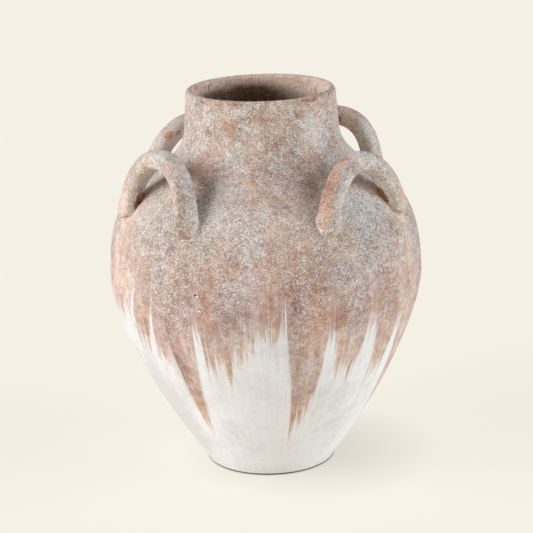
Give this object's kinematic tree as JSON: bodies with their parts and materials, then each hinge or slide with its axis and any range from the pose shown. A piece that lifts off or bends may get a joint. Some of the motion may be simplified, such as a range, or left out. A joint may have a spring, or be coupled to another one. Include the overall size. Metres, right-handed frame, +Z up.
{
  "type": "amphora vase",
  "caption": "Wide-shouldered earthenware jar with a short open neck, upright loop handles luted on its shoulder and a flat base; hollow and free-standing.",
  "frame": {"origin": "centre of the flat underside of the floor slab", "axes": "+Z up along the jar axis; the handles stand near +X (right), +Y (back), -X (left) and -Y (front), and the picture looks from between the right and front handles"},
  "size_m": [0.326, 0.326, 0.4],
  "materials": {
    "lime_wash": "off-white lime wash brushed over terracotta, matt",
    "mottled_wash": "thin, worn, speckled lime wash over terracotta, matt"
  },
  "bodies": {
    "root": {"base_slab": "lime_wash", "lower_wall": "lime_wash", "shoulder_wall": "mottled_wash", "neck_collar": "mottled_wash", "handle_right": "mottled_wash", "handle_back": "mottled_wash", "handle_left": "mottled_wash", "handle_front": "mottled_wash"}
  },
  "joints": []
}
